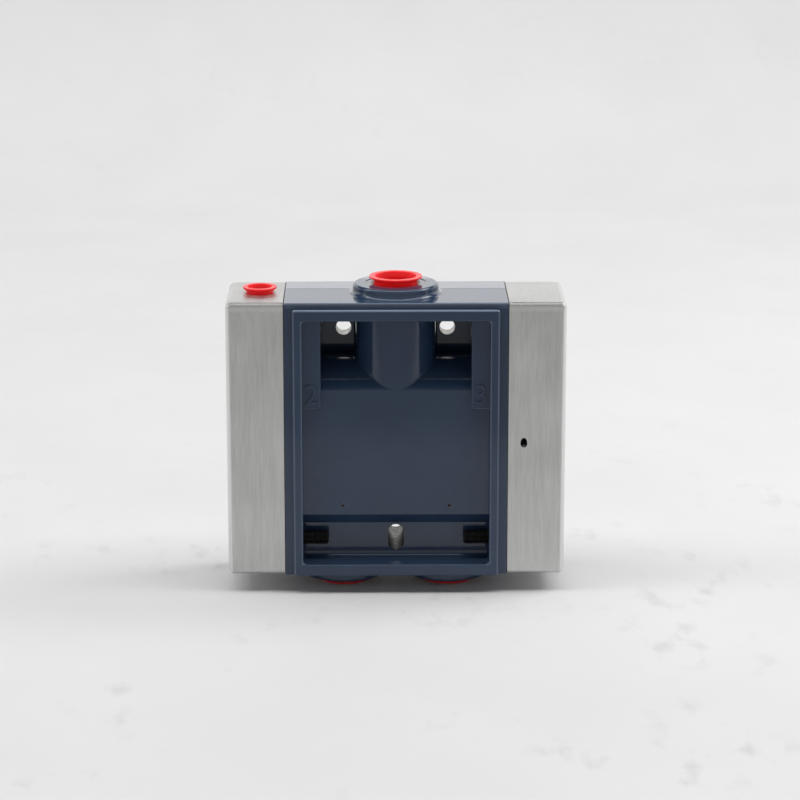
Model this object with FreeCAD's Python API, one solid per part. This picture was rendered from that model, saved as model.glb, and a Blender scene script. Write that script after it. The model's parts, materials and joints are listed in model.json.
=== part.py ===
"""Pilot-operated 3/2-way spool valve: painted cast body, two aluminium end covers, red port plugs.

Millimetres. X runs along the spool from the pilot cover (-X) to the spring cover (+X), the open
pocket faces -Y and +Z is up. The origin is the middle of the underside of the whole valve, the
plane it stands on: its two lower port plugs rest there.
"""
import FreeCAD, Part
import math
import os

os.makedirs("parts", exist_ok=True)

# Casting
body_length = 120.0
body_depth = 58.0
body_height = 151.1
body_edge_radius = 1.0
spool_axis_drop = 60.5
spool_bore = 36.0

# The casting is kept as six blocks, cut at flat planes above and below the barrel and through the holes,
# and the pilot cover as two halves, cut through its port
cut_above_barrel = 4.0
cut_below_barrel = 0.5

# Raised rim around the front pocket
rim_proud = 3.5
rim_side_inset = 4.5
rim_top_inset = 3.05
rim_side_width = 5.0
rim_top_width = 6.3
rim_bottom_width = 6.4
rim_edge_radius = 1.0
rim_mouth_radius = 0.8
rim_corner_radius = 1.6
pocket_corner_radius = 2.2

# Inside the pocket, depths counted from the casting's front face
pad_depth = 7.0
pad_bottom_height = 31.9
band_depth = 14.0
band_top_height = 25.4
band_foot_radius = 2.8
barrel_proud = 2.6
back_wall = 12.0
recess_foot_radius = 5.0
lug_face_depth = 2.5
lug_width = 10.0
lug_length = 50.0
lug_edge_radius = 0.9
lug_corner_radius = 2.5
riser_setback = 0.25
riser_foot_radius = 1.5

# Ports
port_spacing = 57.0
port_bore = 24.2
port_thread_depth = 20.0
port_chamfer = 1.4
port_passage = 20.0
port_spotface = 33.0
port_spotface_depth = 0.3
boss_radius = 23.2
top_boss_height = 5.5
low_boss_height = 6.5
boss_edge_radius = 1.6
boss_foot_radius = 2.5
boss_root = 2.0

# Mounting holes through the back wall
mount_hole = 8.5
mount_spacing = 57.0
mount_hole_drop = 0.65
slot_width = 8.7
slot_length = 14.4
slot_height = 17.1

# Nameplate rivet holes
rivet_hole = 2.0
rivet_hole_depth = 4.0
rivet_spacing = 58.0
rivet_height = 37.0

# End covers
cover_thickness = 30.8
cover_edge_radius = 3.0
cover_face_radius = 3.0
gasket_thickness = 0.5
gasket_inset = 0.5
gasket_bore_margin = 0.5

# Cover screws
screw_thread = 8.0
screw_hole_gap = 0.05
screw_tap_run_out = 1.5
screw_clearance = 0.5
screw_head_width = 13.0
screw_head_height = 8.0
screw_head_chamfer = 0.6
screw_head_recess = 1.5
screw_counterbore_gap = 0.5
screw_socket_flats = 6.0
screw_socket_depth = 4.0
screw_long = 45.0
screw_short = 35.0
screw_tip_chamfer = 1.0
screw_front_depth = 9.0
screw_end_height = 18.5
washer_thickness = 2.0
washer_gap = 0.15

# Pilot side
chamber_bore = 44.0
piston_gap = 0.06
piston_stop_gap = 0.05
piston_nose = 3.0
piston_nose_radius = 10.0
piston_thickness = 8.0
piston_groove_width = 3.2
piston_groove_depth = 3.0
piston_hub_radius = 7.0
piston_bolt_thread = 5.0
piston_bolt_hole_gap = 0.2
piston_bolt_head_radius = 4.25
piston_bolt_head_height = 4.6
piston_bolt_head_drop = 0.4
piston_bolt_head_gap = 0.3
piston_bolt_grip = 10.45
piston_bolt_flats = 4.0
piston_bolt_socket_depth = 2.5
piston_bolt_chamfer = 0.6
bumper_bore_gap = 0.6
bumper_thickness = 1.5
bumper_chamber_gap = 0.4
bumper_chamfer = 0.4
pilot_port_inset = 13.1
pilot_port_bore = 15.0
pilot_port_depth = 16.0
pilot_port_chamfer = 0.8
pilot_feed_bore = 4.0
pilot_feed_drop = 2.0

# Sleeve, spool and seals
sleeve_fit = 0.03
sleeve_bore = 22.0
sleeve_groove_width = 12.0
sleeve_groove_depth = 2.5
sleeve_window = 8.0
sleeve_windows_each = 6
seal_section = 2.6
seal_squeeze = 0.35
seal_groove_width = 3.4
seal_bevel = 0.5
seal_port_margin = 2.0
circlip_thickness = 1.5
circlip_inset = 1.6
circlip_groove_depth = 1.2
circlip_groove_gap = 0.1
circlip_wall = 3.5
circlip_gap_width = 10.0
spool_gap = 0.02
spool_stroke = 14.0
spool_waist = 12.0
spool_middle_land = 5.0
spool_end_land = 10.0
spool_land_groove = 3.0
spool_seal_depth = 1.6
end_land_overlap = 1.5

# Spring side
spring_bore = 30.0
spring_chamber_depth = 25.3
spring_wire = 1.8
spring_mean_radius = 7.6
spring_turns = 7
spring_end_gap = 0.05
spring_steps_per_turn = 14
spring_sides = 6
seat_thickness = 3.0
seat_gap = 0.8
spigot_gap = 0.7
spigot_length = 4.0
spigot_taper = 0.5
retainer_thickness = 2.0
retainer_gap = 0.4
vent_bore = 3.7
vent_break_in = 0.7
vent_rise_angle = 48.0
vent_offset = 8.4
vent_end_drop = 0.4

# Red plastic port plugs
plug_wall = 1.3
plug_standoff = 1.65
plug_lip = 2.1
plug_lip_edge = 0.8
plug_lip_root = 0.6
plug_lip_overhang = 2.5
plug_mouth_inset = 0.6
plug_mouth_depth = 3.0
plug_gap = 0.2
plug_taper = 1.0
plug_length = 14.0
pilot_plug_wall = 1.2
pilot_plug_standoff = 1.3
pilot_plug_lip_overhang = 1.85
pilot_plug_gap = 0.15
pilot_plug_taper = 0.85
pilot_plug_length = 10.0

# Cutting shapes run this far past the faces that they cut, and places closer than snug count as one
past = 1.0
snug = 0.01

# Places worked out from the sizes above
half_length = body_length / 2
front_y = (rim_proud - body_depth) / 2
back_y = front_y + body_depth
middle_y = front_y + body_depth / 2
underside_z = low_boss_height + plug_standoff + plug_lip
top_z = underside_z + body_height
axis_z = top_z - spool_axis_drop
rim_y = front_y - rim_proud
recess_y = back_y - back_wall
pad_y = front_y + pad_depth
barrel_radius = middle_y - pad_y + barrel_proud
riser_radius = middle_y - pad_y - riser_setback
crown_z = axis_z + barrel_radius
pocket_half_width = half_length - rim_side_inset - rim_side_width
pocket_floor_z = underside_z + rim_bottom_width
pocket_roof_z = top_z - rim_top_inset - rim_top_width
lug_z = pocket_roof_z - lug_length
mount_hole_z = (crown_z + pocket_roof_z) / 2 - mount_hole_drop
upper_cut_z = crown_z + cut_above_barrel
lower_cut_z = axis_z - barrel_radius - cut_below_barrel
cover_joint = half_length + gasket_thickness
cover_end = cover_joint + cover_thickness
screw_seat = cover_end - screw_head_recess - screw_head_height - washer_thickness
sleeve_left = -half_length + circlip_inset + circlip_thickness
land_window_edge = port_spacing / 2 + sleeve_window / 2 + end_land_overlap
spool_left = -(land_window_edge + spool_stroke + spool_end_land)
spool_right = land_window_edge + spool_end_land
spool_seal_places = (spool_left + spool_end_land / 2, spool_right - spool_end_land / 2)
piston_travel = spool_stroke + 2 * piston_stop_gap
chamber_end = half_length + bumper_thickness + piston_travel + piston_thickness + piston_nose
piston_left = piston_stop_gap - chamber_end
piston_face = piston_left + piston_nose
piston_rim = chamber_bore / 2 - piston_gap
piston_bolt_seat = piston_left + piston_bolt_head_drop + piston_bolt_head_height
piston_bolt_length = spool_left + piston_bolt_grip - piston_bolt_seat
pilot_port_x = -cover_joint - pilot_port_inset
spring_chamber_end = cover_joint + spring_chamber_depth
screw_places = [(y, z) for y in (front_y + screw_front_depth, back_y - screw_front_depth)
                for z in (underside_z + screw_end_height, top_z - screw_end_height)]
sin_45 = math.sqrt(0.5)


def vec(x, y, z):
    return FreeCAD.Vector(x, y, z)


def block(x0, x1, y0, y1, z0, z1):
    return Part.makeBox(x1 - x0, y1 - y0, z1 - z0, vec(x0, y0, z0))


def rod(radius, start, along):
    """Solid round bar from start, as long as the vector along."""
    return Part.makeCylinder(radius, along.Length, start, along)


def rod_x(radius, x0, x1, y=middle_y, z=axis_z):
    return rod(radius, vec(x0, y, z), vec(x1 - x0, 0, 0))


def ring_x(outer, inner, x0, x1):
    return rod_x(outer, x0, x1).cut(rod_x(inner, x0, x1))


def turned(points, place, axis):
    """Solid of revolution: points are (radius, distance along the axis) pairs round a closed outline."""
    outline = Part.makePolygon([vec(r, 0, h) for r, h in points + points[:1]])
    solid = Part.Face(outline).revolve(vec(0, 0, 0), vec(0, 0, 1), 360)
    solid.Placement = FreeCAD.Placement(place, FreeCAD.Rotation(vec(0, 0, 1), axis))
    return solid


def turned_x(points, x=0.0):
    """Turned about the spool axis; each distance is counted along +X from x."""
    return turned(points, vec(x, middle_y, axis_z), vec(1, 0, 0))


def all_of(shapes):
    whole = shapes[0]
    for shape in shapes[1:]:
        whole = whole.fuse(shape)
    return whole.removeSplitter()


def edges_where(shape, test):
    return [edge for edge in shape.Edges if test(edge)]


def near(a, b):
    return abs(a - b) < snug


def flat_at(edge, axis, value):
    """True where the whole edge lies in the plane axis = value."""
    box = edge.BoundBox
    low, high = {"x": (box.XMin, box.XMax), "y": (box.YMin, box.YMax), "z": (box.ZMin, box.ZMax)}[axis]
    return near(low, value) and near(high, value)


def save(shape, node):
    shape.exportStep("parts/%s.step" % node)
    print("%-28s solids %2d  volume %10.1f" % (node, len(shape.Solids), shape.Volume))


def pocket_section():
    """Outline of the pocket in Y and Z: floor, band, slope, pad, spool barrel, deep recess and roof."""
    mouth_y = rim_y - past
    band_y = front_y + band_depth
    pad_bottom_z = underside_z + pad_bottom_height
    band_top_z = underside_z + band_top_height
    rise = math.sqrt(barrel_radius ** 2 - (middle_y - pad_y) ** 2)
    foot = band_foot_radius
    heel = recess_foot_radius
    barrel_turn = (math.atan2(rise, pad_y - middle_y) + math.pi / 2) / 2
    on_barrel = (middle_y + barrel_radius * math.cos(barrel_turn),
                 axis_z + barrel_radius * math.sin(barrel_turn))
    on_foot = (band_y - foot + foot * sin_45, pocket_floor_z + foot - foot * sin_45)
    on_heel = (recess_y - heel + heel * sin_45, crown_z + heel - heel * sin_45)

    def line(a, b):
        return Part.LineSegment(vec(0, *a), vec(0, *b)).toShape()

    def arc(a, b, c):
        return Part.Arc(vec(0, *a), vec(0, *b), vec(0, *c)).toShape()

    return Part.Wire([
        line((mouth_y, pocket_floor_z), (band_y - foot, pocket_floor_z)),
        arc((band_y - foot, pocket_floor_z), on_foot, (band_y, pocket_floor_z + foot)),
        line((band_y, pocket_floor_z + foot), (band_y, band_top_z)),
        line((band_y, band_top_z), (pad_y, pad_bottom_z)),
        line((pad_y, pad_bottom_z), (pad_y, axis_z + rise)),
        arc((pad_y, axis_z + rise), on_barrel, (middle_y, crown_z)),
        line((middle_y, crown_z), (recess_y - heel, crown_z)),
        arc((recess_y - heel, crown_z), on_heel, (recess_y, crown_z + heel)),
        line((recess_y, crown_z + heel), (recess_y, pocket_roof_z)),
        line((recess_y, pocket_roof_z), (mouth_y, pocket_roof_z)),
        line((mouth_y, pocket_roof_z), (mouth_y, pocket_floor_z)),
    ])


def pocket_shape():
    """Front pocket as a solid: its section drawn along X, less the lugs and the riser that stand in it."""
    pocket = Part.Face(pocket_section()).extrude(vec(2 * pocket_half_width, 0, 0))
    pocket.translate(vec(-pocket_half_width, 0, 0))
    corners = edges_where(pocket, lambda e: near(e.BoundBox.XLength, 0) and near(e.BoundBox.ZLength, 0)
                          and near(abs(e.BoundBox.XMin), pocket_half_width)
                          and (near(e.BoundBox.ZMin, pocket_floor_z)
                               or near(e.BoundBox.ZMin, pocket_roof_z)))
    pocket = pocket.makeFillet(pocket_corner_radius, corners)
    pocket = pocket.cut(lug_shape(-1)).cut(lug_shape(1)).cut(riser_shape())
    return pocket.makeFillet(riser_foot_radius, edges_where(pocket, at_riser_foot))


def at_riser_foot(edge):
    """True on the curve in front where the riser meets the barrel."""
    middle = edge.valueAt((edge.FirstParameter + edge.LastParameter) / 2)
    from_riser_axis = math.hypot(middle.x, middle.y - middle_y)
    return near(from_riser_axis, riser_radius) and middle.y < middle_y - snug and middle.z < crown_z - snug


def lug_shape(side):
    """Cast lug at one side of the pocket that carries the upper front cover screw."""
    inner = pocket_half_width - lug_width
    lug_y = front_y + lug_face_depth
    wall_x = side * (pocket_half_width + past)
    x0, x1 = sorted((side * inner, wall_x))
    lug = block(x0, x1, lug_y, recess_y + past, lug_z, pocket_roof_z + past)
    corner = edges_where(lug, lambda e: near(e.BoundBox.YLength, recess_y + past - lug_y)
                         and near(e.BoundBox.XMin, side * inner) and near(e.BoundBox.ZMin, lug_z))
    lug = lug.makeFillet(lug_corner_radius, corner)
    outline = edges_where(lug, lambda e: flat_at(e, "y", lug_y) and not flat_at(e, "x", wall_x)
                          and not flat_at(e, "z", pocket_roof_z + past))
    return lug.makeFillet(lug_edge_radius, outline)


def riser_shape():
    """Upright riser between the barrel and the top port: round in front, straight back to the wall."""
    top = pocket_roof_z + past
    web = block(-riser_radius, riser_radius, middle_y, recess_y + past, axis_z, top)
    return all_of([rod(riser_radius, vec(0, middle_y, axis_z), vec(0, 0, top - axis_z)), web])


def port_boss(x, face_z, outward, reach):
    """Round boss on the top (outward +1) or underside (-1), with a rounded edge and foot."""
    foot = boss_foot_radius
    edge = boss_edge_radius

    def line(a, b):
        return Part.LineSegment(vec(a[0], 0, a[1]), vec(b[0], 0, b[1])).toShape()

    def arc(a, b, c):
        return Part.Arc(vec(a[0], 0, a[1]), vec(b[0], 0, b[1]), vec(c[0], 0, c[1])).toShape()

    on_foot = (boss_radius + foot - foot * sin_45, foot - foot * sin_45)
    on_edge = (boss_radius - edge + edge * sin_45, reach - edge + edge * sin_45)
    outline = Part.Wire([
        line((0, -boss_root), (boss_radius + foot, -boss_root)),
        line((boss_radius + foot, -boss_root), (boss_radius + foot, 0)),
        arc((boss_radius + foot, 0), on_foot, (boss_radius, foot)),
        line((boss_radius, foot), (boss_radius, reach - edge)),
        arc((boss_radius, reach - edge), on_edge, (boss_radius - edge, reach)),
        line((boss_radius - edge, reach), (0, reach)),
        line((0, reach), (0, -boss_root)),
    ])
    boss = Part.Face(outline).revolve(vec(0, 0, 0), vec(0, 0, 1), 360)
    upright = FreeCAD.Rotation(vec(0, 0, 1), vec(0, 0, outward))
    boss.Placement = FreeCAD.Placement(vec(x, middle_y, face_z), upright)
    return boss


def port_cut(x, face_z, outward):
    """Port from its face to the spool bore: spotface, chamfered mouth, threaded length and passage."""
    bore = port_bore / 2
    spot = port_spotface / 2
    seat = -port_spotface_depth
    passage = port_passage / 2
    reach = abs(face_z - axis_z)
    neck = port_thread_depth + bore - passage
    points = [(0, past), (spot, past), (spot, seat), (bore + port_chamfer, seat),
              (bore, seat - port_chamfer), (bore, -port_thread_depth), (passage, -neck),
              (passage, -reach), (0, -reach)]
    return turned(points, vec(x, middle_y, face_z), vec(0, 0, outward))


def upright_slot(width, length, y0, y1, z):
    """Slot through the wall along Y, standing upright, with round ends."""
    shift = (length - width) / 2
    ends = [rod(width / 2, vec(0, y0, z + side * shift), vec(0, y1 - y0, 0)) for side in (-1, 1)]
    return all_of(ends + [block(-width / 2, width / 2, y0, y1, z - shift, z + shift)])


def casting_blank():
    """The block with its raised rim and port bosses, before the pocket and bores are cut."""
    body = block(-half_length, half_length, front_y, back_y, underside_z, top_z)
    long_edges = edges_where(body, lambda e: near(e.BoundBox.XLength, body_length)
                             and near(e.BoundBox.ZMin, top_z))
    body = body.makeFillet(body_edge_radius, long_edges)

    rim_half = half_length - rim_side_inset
    rim_top_z = top_z - rim_top_inset
    rim = block(-rim_half, rim_half, rim_y, front_y + past, underside_z, rim_top_z)
    top_corners = edges_where(rim, lambda e: near(e.BoundBox.YLength, rim_proud + past)
                              and near(e.BoundBox.ZMin, rim_top_z))
    rim = rim.makeFillet(rim_corner_radius, top_corners)
    rim = rim.makeFillet(rim_edge_radius, edges_where(rim, lambda e: flat_at(e, "y", rim_y)))
    return all_of([body, rim,
                   port_boss(0, top_z, 1, top_boss_height),
                   port_boss(-port_spacing / 2, underside_z, -1, low_boss_height),
                   port_boss(port_spacing / 2, underside_z, -1, low_boss_height)])


def valve_body():
    body = casting_blank().cut(pocket_shape())
    mouth = edges_where(body, lambda e: flat_at(e, "y", rim_y)
                        and abs(e.CenterOfMass.x) < pocket_half_width + snug
                        and pocket_floor_z - snug < e.CenterOfMass.z < pocket_roof_z + snug)
    body = body.makeFillet(rim_mouth_radius, mouth)

    groove_x = -half_length + circlip_inset
    body = body.cut(rod_x(spool_bore / 2, -half_length - past, half_length + past))
    body = body.cut(rod_x(spool_bore / 2 + circlip_groove_depth, groove_x,
                          groove_x + circlip_thickness + circlip_groove_gap))
    body = body.cut(port_cut(0, top_z + top_boss_height, 1))
    for side in (-1, 1):
        body = body.cut(port_cut(side * port_spacing / 2, underside_z - low_boss_height, -1))
        mount_start = vec(side * mount_spacing / 2, recess_y - past, mount_hole_z)
        body = body.cut(rod(mount_hole / 2, mount_start, vec(0, back_y + 2 * past - recess_y, 0)))
        rivet_start = vec(side * rivet_spacing / 2, pad_y - past, underside_z + rivet_height)
        body = body.cut(rod(rivet_hole / 2, rivet_start, vec(0, rivet_hole_depth + past, 0)))
        for y, z in screw_places:
            tap_start = side * (half_length + past)
            tap_end = side * (screw_seat + washer_thickness - screw_length(z) - screw_tap_run_out)
            body = body.cut(rod_x(screw_thread / 2 + screw_hole_gap, tap_start, tap_end, y, z))
    return body.cut(upright_slot(slot_width, slot_length, front_y + band_depth - past, back_y + past,
                                 underside_z + slot_height))


def casting_block(body, low_x, high_x, low_z, high_z):
    return body.common(block(low_x, high_x, rim_y - past, back_y + past, low_z, high_z))


def cover_half(cover, low_y, high_y):
    return cover.common(block(-cover_end - past, -half_length, low_y, high_y,
                              underside_z - past, top_z + past))


def screw_length(z):
    """The lugs beside the upper recesses are short of metal, so the screws there are the shorter ones."""
    return screw_short if z > axis_z else screw_long


def cover_blank(side):
    """Rounded block of one end cover, its flat joint face towards the casting."""
    outer = side * cover_end
    x0, x1 = sorted((side * cover_joint, outer))
    cover = block(x0, x1, front_y, back_y, underside_z, top_z)
    cover = cover.makeFillet(cover_edge_radius,
                             edges_where(cover, lambda e: near(e.BoundBox.XLength, cover_thickness)))
    cover = cover.makeFillet(cover_face_radius, edges_where(cover, lambda e: flat_at(e, "x", outer)))
    inner_end = side * (cover_joint - past)
    outer_end = side * (cover_end + past)
    for y, z in screw_places:
        cover = cover.cut(rod_x(screw_thread / 2 + screw_clearance, inner_end, outer_end, y, z))
        counterbore = screw_head_width / 2 + screw_counterbore_gap
        cover = cover.cut(rod_x(counterbore, side * screw_seat, outer_end, y, z))
    return cover


def pilot_end_cover():
    """Cover with the piston chamber, the pilot port on top and the slanting passage between them."""
    cover = cover_blank(-1).cut(rod_x(chamber_bore / 2, -cover_joint + past, -chamber_end))
    bore = pilot_port_bore / 2
    mouth = bore + pilot_port_chamfer
    points = [(0, past), (mouth, past), (mouth, 0), (bore, -pilot_port_chamfer), (bore, -pilot_port_depth),
              (0, -pilot_port_depth - bore / 2)]
    port = turned(points, vec(pilot_port_x, middle_y, top_z), vec(0, 0, 1))
    start = vec(pilot_port_x, middle_y, top_z - pilot_port_depth)
    finish = vec(piston_nose / 2 - chamber_end, middle_y, axis_z + chamber_bore / 2 - pilot_feed_drop)
    return cover.cut(port).cut(rod(pilot_feed_bore / 2, start, finish - start))


def spring_end_cover():
    """Cover with the spring chamber and the slanting vent that opens low on its front."""
    cover = cover_blank(1).cut(rod_x(spring_bore / 2, cover_joint - past, spring_chamber_end))
    rise = math.radians(vent_rise_angle)
    along = vec(0, math.cos(rise), math.sin(rise))
    end = vec(cover_joint + vent_offset, middle_y - spring_bore / 2 + vent_break_in, axis_z - vent_end_drop)
    reach = (end.y - front_y) / math.cos(rise) + past + vent_bore * math.tan(rise) / 2
    return cover.cut(rod(vent_bore / 2, end - along * reach, along * reach))


def gasket(side, opening):
    x0, x1 = sorted((side * half_length, side * cover_joint))
    sheet = block(x0, x1, front_y + gasket_inset, back_y - gasket_inset,
                  underside_z + gasket_inset, top_z - gasket_inset)
    sheet = sheet.cut(rod_x(opening / 2 + gasket_bore_margin, x0 - past, x1 + past))
    for y, z in screw_places:
        sheet = sheet.cut(rod_x(screw_thread / 2 + screw_clearance, x0 - past, x1 + past, y, z))
    return sheet


def hexagon(flats):
    corner = flats / math.sqrt(3)
    turns = [math.radians(60 * k) for k in range(7)]
    return [vec(corner * math.cos(a), corner * math.sin(a), 0) for a in turns]


def socket_screw(thread, head_radius, head_height, length, flats, socket_depth, chamfer):
    """Socket head screw along +Z: the head's underside is at 0, the shank runs to -length."""
    r = thread / 2
    bevel = screw_head_chamfer
    points = [(0, head_height), (head_radius - bevel, head_height), (head_radius, head_height - bevel),
              (head_radius, 0), (r, 0), (r, chamfer - length), (r - chamfer, -length), (0, -length)]
    screw = turned(points, vec(0, 0, 0), vec(0, 0, 1))
    socket = Part.Face(Part.makePolygon(hexagon(flats))).extrude(vec(0, 0, socket_depth + past))
    socket.translate(vec(0, 0, head_height - socket_depth))
    return screw.cut(socket)


def placed_along_x(shape, side, x, y, z):
    copy = shape.copy()
    copy.Placement = FreeCAD.Placement(vec(side * x, y, z), FreeCAD.Rotation(vec(0, 0, 1), vec(side, 0, 0)))
    return copy


def cover_screws(side):
    screws = []
    for y, z in screw_places:
        screw = socket_screw(screw_thread, screw_head_width / 2, screw_head_height, screw_length(z),
                             screw_socket_flats, screw_socket_depth, screw_tip_chamfer)
        screws.append(placed_along_x(screw, side, screw_seat + washer_thickness, y, z))
    return Part.makeCompound(screws)


def cover_washers(side):
    inner = screw_thread / 2 + washer_gap
    outer = screw_head_width / 2
    ring = turned([(inner, 0), (outer, 0), (outer, washer_thickness), (inner, washer_thickness)],
                  vec(0, 0, 0), vec(0, 0, 1))
    return Part.makeCompound([placed_along_x(ring, side, screw_seat, y, z) for y, z in screw_places])


def seal_places():
    """Middles of the four sleeve seals: halfway between ports, and outside the outer ports."""
    outer = port_spacing / 2 + (port_passage + seal_section) / 2 + seal_port_margin
    return [-outer, -port_spacing / 4, port_spacing / 4, outer]


def spool_sleeve():
    """Sleeve in the spool bore: a groove and a ring of windows at each port, a seal groove either side."""
    outer = spool_bore / 2 - sleeve_fit
    sleeve = ring_x(outer, sleeve_bore / 2, sleeve_left, half_length)
    for x in (-port_spacing / 2, 0, port_spacing / 2):
        half = sleeve_groove_width / 2
        sleeve = sleeve.cut(ring_x(outer + past, outer - sleeve_groove_depth, x - half, x + half))
        for k in range(sleeve_windows_each):
            angle = 2 * math.pi * (k + 0.5) / sleeve_windows_each
            reach = vec(0, math.cos(angle), math.sin(angle)) * (outer + past)
            sleeve = sleeve.cut(rod(sleeve_window / 2, vec(x, middle_y, axis_z), reach))
    for x in seal_places():
        half = seal_groove_width / 2
        sleeve = sleeve.cut(ring_x(outer + past, outer - seal_section + seal_squeeze, x - half, x + half))
    return sleeve


def squeezed_ring(x, inner, outer, width):
    """Elastomer ring squeezed between two walls: flat where it seals, bevelled at its flanks."""
    bevel = seal_bevel
    half = width / 2
    return turned_x([(inner, bevel - half), (inner, half - bevel), (inner + bevel, half),
                     (outer - bevel, half), (outer, half - bevel), (outer, bevel - half),
                     (outer - bevel, -half), (inner + bevel, -half)], x)


def sleeve_seals():
    inner = spool_bore / 2 - sleeve_fit - seal_section + seal_squeeze
    return Part.makeCompound([squeezed_ring(x, inner, spool_bore / 2, seal_section) for x in seal_places()])


def sleeve_circlip():
    x0 = -half_length + circlip_inset
    x1 = x0 + circlip_thickness
    outer = spool_bore / 2 + circlip_groove_depth - circlip_groove_gap
    gap = circlip_gap_width / 2
    opening = block(x0 - past, x1 + past, middle_y - gap, middle_y + gap, axis_z - spool_bore, axis_z)
    return ring_x(outer, outer - circlip_wall, x0, x1).cut(opening)


def spool():
    """Spool with a land at each end and one in the middle, which changes sides at the middle port."""
    land = sleeve_bore / 2 - spool_gap
    waist = spool_waist / 2
    groove = land - spool_seal_depth
    half_middle = spool_middle_land / 2
    middle = -spool_stroke / 2
    left_end = spool_left + spool_end_land
    right_start = spool_right - spool_end_land
    g = spool_land_groove / 2
    left_seal, right_seal = spool_seal_places
    outline = [(0, spool_left), (land, spool_left), (land, left_seal - g), (groove, left_seal - g),
               (groove, left_seal + g), (land, left_seal + g), (land, left_end), (waist, left_end),
               (waist, middle - half_middle), (land, middle - half_middle), (land, middle + half_middle),
               (waist, middle + half_middle), (waist, right_start), (land, right_start),
               (land, right_seal - g), (groove, right_seal - g), (groove, right_seal + g),
               (land, right_seal + g), (land, spool_right), (0, spool_right)]
    tap_end = piston_bolt_seat + piston_bolt_length + past
    return turned_x(outline).cut(rod_x(piston_bolt_thread / 2 + screw_hole_gap, spool_left - past, tap_end))


def spool_seals():
    outer = sleeve_bore / 2 - spool_gap
    return Part.makeCompound([squeezed_ring(x, outer - spool_seal_depth, outer, spool_land_groove)
                              for x in spool_seal_places])


def pilot_piston():
    """Piston with its seal groove, a nose that stops on the cover and a hub that reaches the spool."""
    rim = piston_rim
    back = piston_face + piston_thickness
    middle = piston_face + piston_thickness / 2
    g = piston_groove_width / 2
    floor = rim - piston_groove_depth
    head = piston_bolt_head_radius + piston_bolt_head_gap
    hole = piston_bolt_thread / 2 + piston_bolt_hole_gap
    return turned_x([
        (head, piston_left), (piston_nose_radius, piston_left), (piston_nose_radius, piston_face),
        (rim, piston_face), (rim, middle - g), (floor, middle - g), (floor, middle + g), (rim, middle + g),
        (rim, back), (piston_hub_radius, back), (piston_hub_radius, spool_left), (hole, spool_left),
        (hole, piston_bolt_seat), (head, piston_bolt_seat)])


def piston_seal():
    return squeezed_ring(piston_face + piston_thickness / 2, piston_rim - piston_groove_depth, piston_rim,
                         piston_groove_width)


def piston_bolt():
    bolt = socket_screw(piston_bolt_thread, piston_bolt_head_radius, piston_bolt_head_height,
                        piston_bolt_length, piston_bolt_flats, piston_bolt_socket_depth,
                        piston_bolt_chamfer)
    return placed_along_x(bolt, -1, -piston_bolt_seat, middle_y, axis_z)


def piston_bumper():
    """Rubber ring on the casting's end face that the piston meets at the end of its stroke."""
    inner = spool_bore / 2 + bumper_bore_gap
    outer = chamber_bore / 2 - bumper_chamber_gap
    end = -bumper_thickness
    bevel = bumper_chamfer
    return turned_x([(inner, 0), (outer, 0), (outer, end + bevel), (outer - bevel, end),
                     (inner + bevel, end), (inner, end + bevel)], -half_length)


def flanged_disc(x, inward, radius, thickness):
    """Disc at x with a tapered spigot that centres the spring; inward is the way the spigot points."""
    spigot_radius = spring_mean_radius - spring_wire / 2 - spigot_gap
    spigot_end = thickness + spigot_length
    return turned([(0, 0), (radius, 0), (radius, thickness), (spigot_radius, thickness),
                   (spigot_radius - spigot_taper, spigot_end), (0, spigot_end)],
                  vec(x, middle_y, axis_z), vec(inward, 0, 0))


def return_spring():
    """Coil lofted through small polygons set along a helix, with closed flat-lying end turns."""
    clear = spring_wire / 2 + spring_end_gap
    x0 = spool_right + seat_thickness + clear
    x1 = spring_chamber_end - retainer_thickness - clear
    steps = spring_turns * spring_steps_per_turn
    pitch = (x1 - x0 - 2 * spring_wire) / (spring_turns - 2)

    def along(turns):
        if turns < 1:
            return x0 + spring_wire * turns
        if turns > spring_turns - 1:
            return x1 - spring_wire * (spring_turns - turns)
        return x0 + spring_wire + pitch * (turns - 1)

    sections = []
    for k in range(steps + 1):
        turns = k / spring_steps_per_turn
        angle = 2 * math.pi * turns
        outward = vec(0, math.cos(angle), math.sin(angle))
        centre = vec(along(turns), middle_y, axis_z) + outward * spring_mean_radius
        around = [2 * math.pi * n / spring_sides for n in range(spring_sides + 1)]
        sections.append(Part.makePolygon([centre + outward * (spring_wire / 2 * math.cos(a))
                                          + vec(spring_wire / 2 * math.sin(a), 0, 0) for a in around]))
    return Part.makeLoft(sections, True, True)


def port_plug(place, outward, body_radius, wall, taper, overhang, length, standoff):
    """Hollow tapered plug, closed at its tip: its lip is held off the port and slopes in underneath."""
    lip_top = standoff + plug_lip
    lip_radius = body_radius + overhang
    tip_radius = body_radius - taper
    points = [(body_radius, standoff), (body_radius + plug_lip_root, standoff),
              (lip_radius, lip_top - plug_lip_edge), (lip_radius, lip_top),
              (body_radius - plug_mouth_inset, lip_top), (body_radius - wall, lip_top - plug_mouth_depth),
              (tip_radius - wall, wall - length), (0, wall - length), (0, -length), (tip_radius, -length)]
    return turned(points, place, vec(0, 0, outward))


def main_plug(x, face_z, outward):
    return port_plug(vec(x, middle_y, face_z), outward, port_bore / 2 - plug_gap, plug_wall, plug_taper,
                     plug_lip_overhang, plug_length, plug_standoff)


def pilot_plug():
    return port_plug(vec(pilot_port_x, middle_y, top_z), 1, pilot_port_bore / 2 - pilot_plug_gap,
                     pilot_plug_wall, pilot_plug_taper, pilot_plug_lip_overhang, pilot_plug_length,
                     pilot_plug_standoff)


casting = valve_body()
pilot_cover = pilot_end_cover()
top_face_z = top_z + top_boss_height
low_face_z = underside_z - low_boss_height
hole_x = mount_spacing / 2
outside_x = half_length + past

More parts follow.
